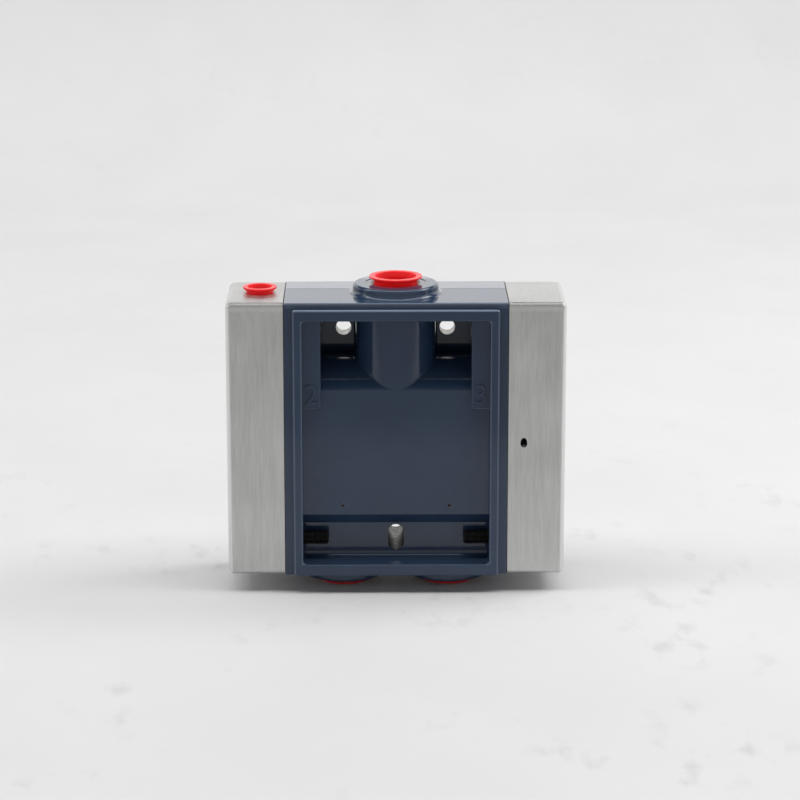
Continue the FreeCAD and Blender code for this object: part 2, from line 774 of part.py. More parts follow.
save(casting_block(casting, -outside_x, -hole_x, upper_cut_z, top_face_z + past), "valve_body_upper_left")
save(casting_block(casting, -hole_x, hole_x, upper_cut_z, top_face_z + past), "valve_body_upper_middle")
save(casting_block(casting, hole_x, outside_x, upper_cut_z, top_face_z + past), "valve_body_upper_right")
save(casting_block(casting, -outside_x, outside_x, lower_cut_z, upper_cut_z), "valve_body_barrel")
save(casting_block(casting, -outside_x, 0, low_face_z - past, lower_cut_z), "valve_body_lower_left")
save(casting_block(casting, 0, outside_x, low_face_z - past, lower_cut_z), "valve_body_lower_right")
save(cover_half(pilot_cover, front_y - past, middle_y), "pilot_end_cover_front")
save(cover_half(pilot_cover, middle_y, back_y + past), "pilot_end_cover_back")
save(spring_end_cover(), "spring_end_cover")
save(gasket(-1, chamber_bore), "pilot_cover_gasket")
save(gasket(1, spring_bore), "spring_cover_gasket")
save(cover_screws(-1), "pilot_cover_screws")
save(cover_screws(1), "spring_cover_screws")
save(cover_washers(-1), "pilot_cover_washers")
save(cover_washers(1), "spring_cover_washers")
save(spool_sleeve(), "spool_sleeve")
save(sleeve_seals(), "sleeve_seals")
save(sleeve_circlip(), "sleeve_circlip")
save(spool(), "spool")
save(spool_seals(), "spool_seals")
save(pilot_piston(), "pilot_piston")
save(piston_seal(), "piston_seal")
save(piston_bolt(), "piston_bolt")
save(piston_bumper(), "piston_bumper")
save(flanged_disc(spool_right, 1, sleeve_bore / 2 - seat_gap, seat_thickness), "spring_seat")
save(return_spring(), "return_spring")
save(flanged_disc(spring_chamber_end, -1, spring_bore / 2 - retainer_gap, retainer_thickness),
     "spring_retainer")
save(main_plug(0, top_face_z, 1), "top_port_plug")
save(main_plug(-port_spacing / 2, low_face_z, -1), "left_port_plug")
save(main_plug(port_spacing / 2, low_face_z, -1), "right_port_plug")
save(pilot_plug(), "pilot_port_plug")
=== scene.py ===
"""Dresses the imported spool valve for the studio: enamelled casting, brushed end covers, threaded screws,
coil spring and red port plugs, on a pale sheet under soft light.

Lengths are metres in the part's own frame. X runs along the spool, the open pocket faces -Y, +Z is up.
"""
import json
import math

import bpy
import numpy as np
from bpy.props import FloatProperty, FloatVectorProperty, IntProperty, PointerProperty
from bpy.types import Operator, Panel, PropertyGroup
from mathutils import Matrix, Vector


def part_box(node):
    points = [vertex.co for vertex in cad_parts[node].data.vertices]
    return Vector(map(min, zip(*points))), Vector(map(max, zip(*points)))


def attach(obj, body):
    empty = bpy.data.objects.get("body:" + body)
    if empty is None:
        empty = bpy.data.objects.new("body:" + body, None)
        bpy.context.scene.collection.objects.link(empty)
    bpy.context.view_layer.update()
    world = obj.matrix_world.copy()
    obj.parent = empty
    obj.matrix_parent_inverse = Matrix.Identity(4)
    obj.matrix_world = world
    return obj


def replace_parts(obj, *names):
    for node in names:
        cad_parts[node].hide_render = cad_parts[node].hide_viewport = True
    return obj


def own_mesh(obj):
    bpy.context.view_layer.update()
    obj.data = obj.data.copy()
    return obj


bl_info = {
    "name": "Spool Valve Dressing",
    "version": (1, 0, 0),
    "blender": (4, 5, 0),
    "location": "3D View > Sidebar > Spool Valve",
    "description": "Finishes the pieces of a pilot-operated spool valve and sets its studio",
    "category": "Object",
}

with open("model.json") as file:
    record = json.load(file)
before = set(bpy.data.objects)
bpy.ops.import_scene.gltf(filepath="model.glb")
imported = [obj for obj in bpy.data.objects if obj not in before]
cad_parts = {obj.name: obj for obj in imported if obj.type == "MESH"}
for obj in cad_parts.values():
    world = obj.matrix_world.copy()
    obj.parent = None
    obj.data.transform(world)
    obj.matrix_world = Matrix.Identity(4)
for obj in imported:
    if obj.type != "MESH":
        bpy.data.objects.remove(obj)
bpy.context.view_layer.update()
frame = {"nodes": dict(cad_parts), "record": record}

MM = 0.001
TURN = 2 * math.pi
CASTING = ("valve_body_upper_left", "valve_body_upper_middle", "valve_body_upper_right", "valve_body_barrel",
           "valve_body_lower_left", "valve_body_lower_right")

# Places read from the frame
mount_place = {mount["name"]: mount["pos_m"] for mount in frame["record"]["mounts"]}
sleeve_low, sleeve_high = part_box("spool_sleeve")
spool_axis_y = (sleeve_low.y + sleeve_high.y) / 2
spool_axis_z = (sleeve_low.z + sleeve_high.z) / 2
cover_low, cover_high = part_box("spring_end_cover")
casting_top = cover_high.z
casting_bottom = cover_low.z
casting_front = cover_low.y
casting_back = cover_high.y
casting_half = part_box("valve_body_barrel")[1].x
rim_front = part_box("valve_body_barrel")[0].y
top_boss_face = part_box("valve_body_upper_middle")[1].z
low_boss_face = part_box("valve_body_lower_left")[0].z

# The casting's holes, as its solid has them. A spread is the distance of a mirrored pair from the middle, and
# a bare radius reaches a little past the wall
port_spread = 28.5 * MM
port_mouth_radius = 13.5 * MM
low_port_top = casting_bottom + 60.0 * MM
bare_bore_radius = 19.3 * MM
mount_spread = 28.5 * MM
mount_hole = 8.5 * MM
slot_width = 8.7 * MM
slot_length = 14.4 * MM
rivet_spread = 29.0 * MM
rivet_height = casting_bottom + 37.0 * MM
rivet_hole = 2.0 * MM
screw_rows = (casting_front + 9.0 * MM, casting_back - 9.0 * MM)
screw_heights = (casting_bottom + 18.5 * MM, casting_top - 18.5 * MM)
bare_thread_radius = 4.06 * MM
screw_hole_end = 40.4 * MM

# The rim round the pocket, as its solid has it
rim_edge = 1.0 * MM
rim_top = casting_top - 3.05 * MM
rim_side = casting_half - 4.5 * MM
pocket_side = rim_side - 5.0 * MM
pocket_mouth_edge = 0.8 * MM
pocket_roof = rim_top - 6.3 * MM
pocket_floor = casting_bottom + 6.4 * MM

# The vent's slanting bore in the spring cover
vent_x = 68.9 * MM
vent_slope = math.radians(48.0)
vent_inner_y = spool_axis_y - 15.5 * MM
vent_inner_z = spool_axis_z - 0.4 * MM
vent_shade_radius = 4.0 * MM

# How far a mask reaches past the wall that it colours
hair = 0.03 * MM


def linear(hex_colour):
    """sRGB hex to linear RGB: each channel c becomes c/12.92 below 0.04045, else ((c+0.055)/1.055)^2.4."""
    channels = [int(hex_colour[k:k + 2], 16) / 255 for k in (1, 3, 5)]
    return tuple(c / 12.92 if c <= 0.04045 else ((c + 0.055) / 1.055) ** 2.4 for c in channels)


def colour(name, description, hex_colour):
    """A colour setting, given as sRGB hex."""
    return FloatVectorProperty(name=name, description=description, subtype="COLOR", size=3, min=0, max=1,
                               default=linear(hex_colour))


def length(name, description, millimetres):
    """A length setting, given in millimetres."""
    return FloatProperty(name=name, description=description, unit="LENGTH", subtype="DISTANCE", min=0,
                         default=millimetres * MM)


def angle(name, description, degrees):
    """An angle setting, given in degrees."""
    return FloatProperty(name=name, description=description, subtype="ANGLE", default=math.radians(degrees))


def amount(name, description, default, **options):
    """A plain number, or one whose options give its unit or subtype."""
    return FloatProperty(name=name, description=description, default=default, **options)


class CastingSettings(PropertyGroup):
    enamel: colour("Enamel", "Blue-grey stoving enamel on the casting", "#273850")
    bare_metal: colour("Bare metal", "Drilled and bored aluminium", "#B9B7B2")
    # Paler enamel painted on the rim's edges, the casting's top front edge and the top boss as highlights
    painted_highlight_enamel: colour("Thin enamel", "Enamel where it draws thin over the rim's edges", "#8593A8")
    skin_grain: length("Skin grain", "Size of the cast skin's ripples under the enamel", 2.6)
    peel_grain: length("Peel grain", "Size of the enamel's orange peel", 0.9)
    parting_offset: length("Parting line", "Distance of the mould's parting line behind the front face", 38.5)
    bead_width: length("Bead width", "Width of the parting line's bead", 0.7)
    bead_height: length("Bead height", "Height of the parting line's bead", 0.05)
    draft: angle("Draft", "Slope of the mould's two halves away from the parting line", 1.6)
    figure_height: length("Figure height", "Height of the raised port numbers on the lugs", 11.0)
    figure_relief: length("Figure relief", "How far the port numbers stand out", 1.0)


class CoverSettings(PropertyGroup):
    aluminium: colour("Aluminium", "Belt-ground aluminium of the end covers", "#C4C4C3")
    grind_width: length("Grinding line width", "Width of one grinding line", 0.35)
    grind_length: length("Grinding line length", "Length of one grinding line", 14.0)
    edge: length("Edge", "Rounding of the outer edges", 3.0)
    # Tone to which the covers' top edge is painted darker: painted shade that takes out its highlight
    top_edge_painted_shade_tone: amount("Top edge tone", "Tone of the dull top edge", 0.4, subtype="FACTOR")
    fibre: colour("Gasket", "Compressed fibre gasket", "#2B2A28")


class ScrewSettings(PropertyGroup):
    thread: length("Thread", "Outer diameter of the cover screws", 8.0)
    pitch: length("Pitch", "Distance from one thread to the next", 1.25)
    threaded: length("Threaded length", "Length of thread from the tip", 28.0)
    head: length("Head", "Diameter of the screw heads", 13.0)
    head_height: length("Head height", "Height of the screw heads", 8.0)
    socket: length("Socket", "Width across the flats of the hexagon socket", 6.0)
    socket_depth: length("Socket depth", "Depth of the hexagon socket", 4.0)
    knurls: IntProperty(name="Knurls", description="Number of knurls round a head", default=36, min=6)
    oxide: colour("Black oxide", "Oiled black oxide on the screws", "#121212")
    zinc: colour("Zinc", "Zinc plating on washers and the piston bolt", "#A9AAA6")


class WorksSettings(PropertyGroup):
    steel: colour("Ground steel", "Ground steel of the sleeve, spool and spring seat", "#A3A4A4")
    aluminium: colour("Turned aluminium", "Turned aluminium of the piston and spring retainer", "#BEBFBF")
    rubber: colour("Nitrile rubber", "Moulded nitrile rubber of the seals", "#1A1A1B")
    wire: colour("Spring wire", "Drawn patented spring wire", "#6F6C68")
    wire_diameter: length("Wire diameter", "Diameter of the return spring's wire", 1.8)
    coil_radius: length("Coil radius", "Radius of the return spring to the middle of its wire", 7.6)
    turns: IntProperty(name="Turns", description="Turns of the return spring, with its two closed ends",
                       default=7, min=3)


class PlugSettings(PropertyGroup):
    red: colour("Red polyethylene", "Moulded low-density polyethylene of the port plugs", "#EE1620")
    wall: length("Wall", "Wall of a plug", 1.3)
    edge: length("Edge rounding", "Rounding of a plug's moulded edges", 0.45)


class StudioSettings(PropertyGroup):
    sheet: colour("Sheet", "Pale sheet under and behind the valve", "#D5D5D6")
    marks: amount("Marks", "Depth of the faint scuffs on the sheet", 0.3, subtype="FACTOR")
    sheet_front: length("Sheet front", "Distance of the sheet's front edge from the casting", 326.0)
    left_power: amount("Left power", "Power of the softbox on the left", 0.9, unit="POWER")
    right_power: amount("Right power", "Power of the softbox on the right", 4.5, unit="POWER")
    back_power: amount("Back power", "Power of the softbox over the sheet's bend", 1.0, unit="POWER")
    sky_front: amount("Sky in front", "Strength of the sky in front, low down", 0.48)
    sky_key: amount("Sky high in front", "Strength of the sky high up in front", 3.7)
    sky_above: amount("Sky above", "Strength of the sky from overhead to behind", 1.05)
    sky_low: amount("Sky low behind", "Strength of the sky low down behind", 1.43)
    lens: length("Lens", "Focal length of the camera on a 36 mm sensor", 132.98)
    camera_place: FloatVectorProperty(name="Camera", description="Where the camera stands", unit="LENGTH",
                                      subtype="TRANSLATION", default=(-0.01263, -1.56704, 0.4951))
    camera_pitch: angle("Pitch", "How far the camera looks down", 14.104)
    camera_yaw: angle("Yaw", "How far the camera is turned towards +X", 0.547)


class ValveSettings(PropertyGroup):
    casting: PointerProperty(type=CastingSettings, name="Casting", description="Enamelled casting")
    covers: PointerProperty(type=CoverSettings, name="Covers", description="End covers and gaskets")
    screws: PointerProperty(type=ScrewSettings, name="Screws", description="Cover screws and washers")
    works: PointerProperty(type=WorksSettings, name="Works", description="Sleeve, spool, piston and spring")
    plugs: PointerProperty(type=PlugSettings, name="Plugs", description="Red port plugs")
    studio: PointerProperty(type=StudioSettings, name="Studio", description="Sheet, lights and camera")


def settings():
    return bpy.context.scene.valve_dressing


# Materials

def add_node(tree, kind, feeds=(), out=None, **options):
    """Adds one shader node, with its options set first. feeds holds values or other nodes' outputs, by socket
    name or in the order of the open sockets. Returns the output named by out, or else the one open output, or
    the list of them."""
    made = tree.nodes.new("ShaderNode" + kind)
    for name, value in options.items():
        setattr(made, name, value)
    if not isinstance(feeds, dict):
        feeds = dict(zip([k for k, socket in enumerate(made.inputs) if socket.enabled], feeds))
    for key, feed in feeds.items():
        if isinstance(feed, bpy.types.NodeSocket):
            tree.links.new(feed, made.inputs[key])
        else:
            made.inputs[key].default_value = feed
    if out:
        return made.outputs[out]
    opened = [socket for socket in made.outputs if socket.enabled]
    return opened[0] if len(opened) == 1 else opened


def new_material(name, **values):
    """A material whose Principled shader has these values, and the Object coordinates for its patterns."""
    material = bpy.data.materials.new(name)
    material.use_nodes = True
    shader = material.node_tree.nodes["Principled BSDF"]
    for key, value in values.items():
        shader.inputs[key.replace("_", " ")].default_value = value
    return material, material.node_tree, add_node(material.node_tree, "TexCoord", out="Object")


def feed_shader(material, **outputs):
    """Links each output to the socket of the Principled shader that its keyword names."""
    shader = material.node_tree.nodes["Principled BSDF"]
    for key, output in outputs.items():
        material.node_tree.links.new(output, shader.inputs[key.replace("_", " ")])


def toned(rgb, factor=1.0):
    """The colour with its channels times the factor, held at 1, and opaque."""
    return (*[min(1.0, c * factor) for c in rgb], 1.0)


def grain(tree, place, size, detail=2.0, stretch=(1, 1, 1)):
    """Noise whose features are about size across, drawn out along an axis by its stretch."""
    scale = [1 / (size * s) for s in stretch]
    mapped = add_node(tree, "Mapping", {"Vector": place, "Scale": scale})
    return add_node(tree, "TexNoise", {"Vector": mapped, "Scale": 1.0, "Detail": detail}, out="Fac")


def mottled(tree, pattern, span, rgb, tones):
    """The colour times the first tone where the pattern is below its span, times the second above it."""
    share = add_node(tree, "MapRange", [pattern, *span, 0, 1])
    return add_node(tree, "Mix", [share, toned(rgb, tones[0]), toned(rgb, tones[1])], data_type="RGBA")


def any_of(tree, masks):
    """The greatest of the masks: 1 where any of them is 1."""
    whole = masks[0]
    for mask in masks[1:]:
        whole = add_node(tree, "Math", [whole, mask], operation="MAXIMUM")
    return whole


def all_of(tree, masks):
    """The product of the masks: 1 where all of them are 1."""
    whole = masks[0]
    for mask in masks[1:]:
        whole = add_node(tree, "Math", [whole, mask], operation="MULTIPLY")
    return whole


def between(tree, value, low=None, high=None):
    """1 where the value is above low and below high. A side that isn't given is open."""
    masks = []
    if low is not None:
        masks.append(add_node(tree, "Math", [value, low], operation="GREATER_THAN"))
    if high is not None:
        masks.append(add_node(tree, "Math", [value, high], operation="LESS_THAN"))
    return all_of(tree, masks)


def bore_mask(tree, place, axis, centre, radius):
    """1 inside a round bore: the distance from its axis, measured with that axis's coordinate set to 0."""
    flat = [float(letter != axis) for letter in "XYZ"]
    across = add_node(tree, "VectorMath", [place, flat], operation="MULTIPLY")
    middle = [c * f for c, f in zip(centre, flat)]
    away = add_node(tree, "VectorMath", [across, middle], operation="DISTANCE")
    return add_node(tree, "Math", [away, radius], operation="LESS_THAN")


def slot_mask(tree, x, y, z):
    """1 inside the lower slot: a round bore once the height loses its part that lies within the slot's
    straight sides, which is the height over the slot's middle clamped to half their length."""
    middle = mount_place["lower_slot"][2]
    straight = (slot_length - slot_width) / 2
    over_middle = add_node(tree, "Math", [z, middle], operation="SUBTRACT")
    held = add_node(tree, "Clamp", [over_middle, -straight, straight])
    height = add_node(tree, "Math", [z, held], operation="SUBTRACT")
    place = add_node(tree, "CombineXYZ", [x, y, height])
    return bore_mask(tree, place, "Y", (0, 0, middle), slot_width / 2 + hair)


def machined_mask(tree, place, x, y, z, reach):
    """1 on the casting's drilled, bored and milled walls. reach is |x|, so a mirrored pair is one bore."""
    mirrored = add_node(tree, "CombineXYZ", [reach, y, z])
    mount = (mount_spread, 0, mount_place["upper_holes"][2])
    low_port = (port_spread, spool_axis_y, 0)
    low_ports = bore_mask(tree, mirrored, "Z", low_port, port_mouth_radius - hair)
    rivet_holes = bore_mask(tree, mirrored, "Y", (rivet_spread, 0, rivet_height), rivet_hole / 2 + hair)
    masks = [
        bore_mask(tree, mirrored, "Y", mount, mount_hole / 2 + hair),
        bore_mask(tree, place, "Z", (0, spool_axis_y, 0), port_mouth_radius - hair),
        bore_mask(tree, place, "X", (0, spool_axis_y, spool_axis_z), bare_bore_radius),
        all_of(tree, [low_ports, between(tree, z, high=low_port_top)]),
        all_of(tree, [rivet_holes, between(tree, y, high=0.0)]),
    ]
    near_end = between(tree, reach, low=screw_hole_end)
    for row in screw_rows:
        for height in screw_heights:
            tapped = bore_mask(tree, place, "X", (0, row, height), bare_thread_radius)
            masks.append(all_of(tree, [tapped, near_end]))
    masks.append(between(tree, reach, low=casting_half - hair))
    return any_of(tree, masks)


def painted_highlight_share(tree, y, z, reach):
    """How strong the painted highlight is, as paler enamel: most on the rim's top edge, less on its sides and
    round the pocket's mouth, more and more up the casting's top front edge, and a trace on the top boss."""
    rim_top_share, rim_side_share, mouth_share, boss_share = 0.6, 0.2, 0.2, 0.07
    crest_start_share, crest_end_share = 0.1, 0.38
    crest_start, crest_foot = casting_top - 1.8 * MM, casting_top - 3.0 * MM
    crest_back = casting_front + 0.7 * MM
    boss_foot, boss_crest = casting_top + 0.2 * MM, casting_top + 5.3 * MM
    on_rim = between(tree, y, high=rim_front + rim_edge)
    rim_top_edge = between(tree, z, low=rim_top - rim_edge)
    rim_side_edge = between(tree, reach, low=rim_side - rim_edge)
    mouth_edge = all_of(tree, [between(tree, reach, high=pocket_side + pocket_mouth_edge),
                               between(tree, z, pocket_floor, pocket_roof)])
    crest = add_node(tree, "MapRange", [z, crest_start, casting_top, crest_start_share, crest_end_share])
    return any_of(tree, [
        all_of(tree, [on_rim, rim_top_edge, rim_top_share]),
        all_of(tree, [on_rim, rim_side_edge, rim_side_share]),
        all_of(tree, [on_rim, mouth_edge, mouth_share]),
        all_of(tree, [crest, between(tree, z, low=crest_foot), between(tree, y, high=crest_back)]),
        all_of(tree, [between(tree, z, boss_foot, boss_crest), boss_share]),
    ])


def blue_enamel():
    """Stoving enamel over a sand casting: glossy, with orange peel, drawn coarse enough to show, on the
    casting's softer ripples, and tilted by the mould's draft on both sides of the parting line. Machined
    walls are bare aluminium. The slot's wall is painted dark as shade in the hole, and paler enamel is painted
    on the rim's edges, the casting's top front edge and the top boss as highlights."""
    s = settings().casting
    material, tree, place = new_material("blue_stoving_enamel", IOR=1.5)
    x, y, z = add_node(tree, "SeparateXYZ", [place])
    reach = add_node(tree, "Math", [x], operation="ABSOLUTE")
    slot = slot_mask(tree, x, y, z)
    bare = any_of(tree, [slot, machined_mask(tree, place, x, y, z, reach)])

    paint = mottled(tree, grain(tree, place, 34 * MM, 3.0), (0.35, 0.65), s.enamel, (0.93, 1.07))
    # Paler enamel painted on the edges: painted highlights
    painted_highlight = painted_highlight_share(tree, y, z, reach)
    paint = add_node(tree, "Mix", [painted_highlight, paint, toned(s.painted_highlight_enamel)], data_type="RGBA")
    scuff = grain(tree, place, 3.2 * MM, 6.0)
    drilled = mottled(tree, scuff, (0.45, 0.62), s.bare_metal, (0.5, 1.0))
    # The slot's wall is painted dark: painted shade in the hole
    slot_painted_shade = mottled(tree, scuff, (0.45, 0.62), s.bare_metal, (0.04, 0.3))
    metal = add_node(tree, "Mix", [slot, drilled, slot_painted_shade], data_type="RGBA")
    base = add_node(tree, "Mix", [bare, paint, metal], data_type="RGBA")
    gloss = add_node(tree, "MapRange", [grain(tree, place, 18 * MM, 4.0), 0.3, 0.7, 0.08, 0.13])

    past_line = add_node(tree, "Math", [y, casting_front + s.parting_offset], operation="SUBTRACT")
    off_line = add_node(tree, "Math", [past_line], operation="ABSOLUTE")
    fall = add_node(tree, "Math", [off_line, -math.tan(s.draft)], operation="MULTIPLY")
    slope = add_node(tree, "Bump", {"Height": fall, "Distance": 1.0})
    skin = {"Height": grain(tree, place, s.skin_grain, 3.0), "Distance": 0.05 * MM, "Normal": slope}
    peel = {"Height": grain(tree, place, s.peel_grain, 1.0), "Distance": 0.012 * MM,
            "Normal": add_node(tree, "Bump", skin)}
    bare_roughness = 0.42
    rough = add_node(tree, "Mix", [bare, gloss, bare_roughness])
    normal = add_node(tree, "Bump", peel)
    feed_shader(material, Base_Color=base, Metallic=bare, Roughness=rough, Normal=normal)
    return material


def vent_mask(tree, place, y):
    """1 on the vent's wall. Its mouth lies below its inner end by their distance in y times the slope."""
    drop = (vent_inner_y - casting_front) * math.tan(vent_slope)
    bore = bore_mask(tree, place, "Y", (vent_x, 0, vent_inner_z - drop), vent_shade_radius)
    return all_of(tree, [bore, between(tree, y, casting_front + hair, 0.0)])


def ground_aluminium():
    """Aluminium block ground on a belt: upright lines on the faces, drawn wider than the grit leaves them so
    that they show, and finer and smoother on top, where the lines stop in a ragged row of short strokes. The
    top edge is painted darker, painted shade that takes out its highlight; the upright edges are polished and
    painted lighter as highlights, the top band of the front faces is painted lighter, partly for its smoother
    finish and partly as painted light, and the vent's bore is painted dark as painted shade."""
    s = settings().covers
    material, tree, place = new_material("belt_ground_aluminium", Metallic=1.0)
    x, y, z = add_node(tree, "SeparateXYZ", [place])
    upright = grain(tree, place, s.grind_width, 3.0, (1, 1, s.grind_length / s.grind_width))
    across = grain(tree, place, 0.5 * MM, 2.0, (1, 30, 1))
    stroke_reach, lines_end, top_start = 2.0 * MM, casting_top - 5.2 * MM, casting_top - 3.4 * MM
    strokes = grain(tree, place, 1.2 * MM, 4.0, (1, 1, 2))
    stroke = add_node(tree, "MapRange", [strokes, 0, 1, -stroke_reach, stroke_reach])
    ragged = add_node(tree, "Math", [z, stroke], operation="ADD")
    top = add_node(tree, "MapRange", [ragged, lines_end, top_start, 0, 1])
    lines = add_node(tree, "Mix", [top, upright, across])
    streaks = grain(tree, place, 2.4 * MM, 2.0, (1, 1, 12))
    cloud = grain(tree, place, 30 * MM, 2.0)
    tone = 0.0
    for pattern, share in ((lines, 0.5), (streaks, 0.25), (cloud, 0.25)):
        tone = add_node(tree, "Math", [pattern, share, tone], operation="MULTIPLY_ADD")

    # How far a point lies beyond the start of each rounded edge
    rise = add_node(tree, "Math", [z, casting_top - s.edge], operation="SUBTRACT")
    fore = add_node(tree, "Math", [casting_front + s.edge, y], operation="SUBTRACT")
    reach = add_node(tree, "Math", [x], operation="ABSOLUTE")
    side = add_node(tree, "Math", [reach, cover_high.x - s.edge], operation="SUBTRACT")
    top_edge = add_node(tree, "Math", [rise, fore], operation="MINIMUM")
    side_edge = add_node(tree, "Math", [side, fore], operation="MINIMUM")
    # The top edge is painted darker: painted shade that takes out the highlight it would catch
    top_edge_painted_shade = add_node(tree, "MapRange", [top_edge, 0.36 * s.edge, 0.66 * s.edge, 0, 1])
    not_top_edge_painted_shade = add_node(tree, "Math", [1.0, top_edge_painted_shade], operation="SUBTRACT")
    # The upright rounded edges are polished, with a lower roughness, and painted lighter as a highlight
    rounded = add_node(tree, "MapRange", [side_edge, 0.1 * s.edge, 0.5 * s.edge, 0, 1])
    polished_edge_and_highlight = all_of(tree, [rounded, not_top_edge_painted_shade])
    # The top band of the front faces is painted lighter: partly its smoother unground finish, partly painted
    # light from above
    band = all_of(tree, [top, add_node(tree, "MapRange", [fore, 0.8 * s.edge, s.edge, 0, 1])])
    # The vent's bore is painted dark: painted shade in the hole
    vent = vent_mask(tree, place, y)

    base = mottled(tree, tone, (0.36, 0.64), s.aluminium, (0.84, 1.12))
    painted_light_band_tone, painted_edge_highlight_tone, vent_painted_shade_tone = 1.13, 1.3, 0.12
    for mask, factor in ((band, painted_light_band_tone), (polished_edge_and_highlight, painted_edge_highlight_tone), (top_edge_painted_shade, s.top_edge_painted_shade_tone), (vent, vent_painted_shade_tone)):
        base = add_node(tree, "Mix", [mask, base, toned(s.aluminium, factor)], data_type="RGBA")
    rough = add_node(tree, "MapRange", [lines, 0.3, 0.7, 0.36, 0.5])
    shallow = add_node(tree, "Math", [across, 0.25], operation="MULTIPLY")
    depth = {"Height": add_node(tree, "Mix", [top, upright, shallow]), "Distance": 0.03 * MM}
    bright_roughness = 0.24
    feed_shader(material, Base_Color=base, Roughness=add_node(tree, "Mix", [polished_edge_and_highlight, rough, bright_roughness]),
                Normal=add_node(tree, "Bump", depth))
    return material


def red_polyethylene():
    """Injection-moulded polyethylene: waxy, slightly translucent red with a soft moulded gloss."""
    s = settings().plugs
    material, tree, place = new_material("red_moulded_polyethylene", IOR=1.51, Subsurface_Weight=0.8,
                                         Subsurface_Scale=5 * MM, Subsurface_Radius=(1.0, 0.12, 0.08))
    cloud = grain(tree, place, 7 * MM, 3.0)
    skin = {"Height": grain(tree, place, 0.8 * MM, 2.0), "Distance": 0.01 * MM}
    feed_shader(material, Base_Color=mottled(tree, cloud, (0.3, 0.7), s.red, (0.92, 1.06)),
                Roughness=add_node(tree, "MapRange", [cloud, 0.3, 0.7, 0.3, 0.4]),
                Normal=add_node(tree, "Bump", skin))
    return material


def worked_metal(name, rgb, roughness, line, depth, stretch=(1, 1, 1), metallic=1.0):
    """Metal marked by its tool: lines of the given width, drawn out along the axes of stretch, in the colour,
    roughness and height. They are wider than a real tool's, so that they show."""
    material, tree, place = new_material(name, Metallic=metallic)
    lines = grain(tree, place, line, 3.0, stretch)
    tone = add_node(tree, "Mix", [0.4, lines, grain(tree, place, 11 * MM, 2.0)])
    rough = add_node(tree, "MapRange", [lines, 0.3, 0.7, roughness * 0.85, roughness * 1.2])
    feed_shader(material, Base_Color=mottled(tree, tone, (0.35, 0.65), rgb, (0.82, 1.1)), Roughness=rough,
                Normal=add_node(tree, "Bump", {"Height": lines, "Distance": depth}))
    return material


def soft_material(name, rgb, roughness, size, depth):
    """Dull soft material, pressed or moulded: a speckle in the colour and the height, coarse enough to show."""
    material, tree, place = new_material(name, IOR=1.5)
    speckle = grain(tree, place, size, 5.0)
    rough = add_node(tree, "MapRange", [speckle, 0.3, 0.7, roughness * 0.9, roughness * 1.1])
    feed_shader(material, Base_Color=mottled(tree, speckle, (0.35, 0.65), rgb, (0.75, 1.3)), Roughness=rough,
                Normal=add_node(tree, "Bump", {"Height": speckle, "Distance": depth}))
    return material


# Surfaces, as points and faces. A face is a row of four corners, and in a triangle the last one is -1

def ring_surface(rings, first_centre, last_centre):
    """Closed surface through rings of points, an array of rings by columns by 3: quads from each ring to the
    next, and fans from the first and last ring to their centres. Where its signed volume, the sum of each
    triangle's a . (b x c), is below 0, the faces point inwards and are turned round."""
    count, columns = rings.shape[:2]
    points = np.vstack([rings.reshape(-1, 3), first_centre, last_centre])
    index = np.arange(count * columns).reshape(count, columns)
    near, far = index[:-1], index[1:]
    quads = np.stack([near, np.roll(near, -1, 1), np.roll(far, -1, 1), far], -1).reshape(-1, 4)
    first, last = index[0], index[-1]
    hub = np.full(columns, count * columns)
    no_corner = np.full(columns, -1)
    faces = np.vstack([quads, np.stack([np.roll(first, -1), first, hub, no_corner], -1),
                       np.stack([last, np.roll(last, -1), hub + 1, no_corner], -1)])
    volume = 0.0
    for rows, picked in ((faces, (0, 1, 2)), (quads, (0, 2, 3))):
        a, b, c = [points[rows[:, k]] for k in picked]
        volume += np.einsum("ij,ij->i", a, np.cross(b, c)).sum()
    if volume < 0:
        faces = faces[:, ::-1]
    return points, faces


def surface_mesh(name, surfaces):
    """One mesh of several surfaces, in their order."""
    rows = []
    start = 0
    for points, faces in surfaces:
        rows.extend([start + k for k in face if k >= 0] for face in faces.tolist())
        start += len(points)
    mesh = bpy.data.meshes.new(name)
    mesh.from_pydata(np.vstack([points for points, faces in surfaces]).tolist(), [], rows)
    mesh.update()
    return mesh


def rounded_profile(corners, steps):
    """Outline through (radius, height, rounding) corners. A rounded corner becomes an arc tangent to both its
    sides: the arc's centre lies on the bisector, rounding / sin(half the corner's angle) away."""
    spots = np.array(corners, float)
    outline = []
    for k, (radius, height, rounding) in enumerate(spots):
        here = np.array([radius, height])
        if rounding == 0:
            outline.append(here)
            continue
        sides = [spots[k - 1, :2] - here, spots[(k + 1) % len(spots), :2] - here]
        back, ahead = [side / np.linalg.norm(side) for side in sides]
        half = math.acos(np.clip(back @ ahead, -1, 1)) / 2
        middle = (back + ahead) / np.linalg.norm(back + ahead)
        centre = here + middle * rounding / math.sin(half)
        start, end = [here + way * rounding / math.tan(half) - centre for way in (back, ahead)]
        first = math.atan2(start[1], start[0])
        sweep = (math.atan2(end[1], end[0]) - first + math.pi) % TURN - math.pi
        angles = first + sweep * np.linspace(0, 1, steps + 1)
        outline.extend(centre + rounding * np.stack([np.cos(angles), np.sin(angles)], -1))
    return np.array(outline)


def turned_rings(radii, heights, place, axis, columns):
    """Rings round an axis through place: point = place + axis * height + radius * (cos, sin) across the axis.
    radii has a row for each ring and one column, or one for each point round it."""
    side = np.array([0.0, 1.0, 0.0]) if abs(axis[0]) > 0.5 else np.array([1.0, 0.0, 0.0])
    other = np.cross(axis, side)
    turn = TURN * np.arange(columns) / columns
    around = np.cos(turn)[:, None] * side + np.sin(turn)[:, None] * other
    radii = np.broadcast_to(radii, (len(heights), columns))
    return place + heights[:, None, None] * axis + radii[..., None] * around


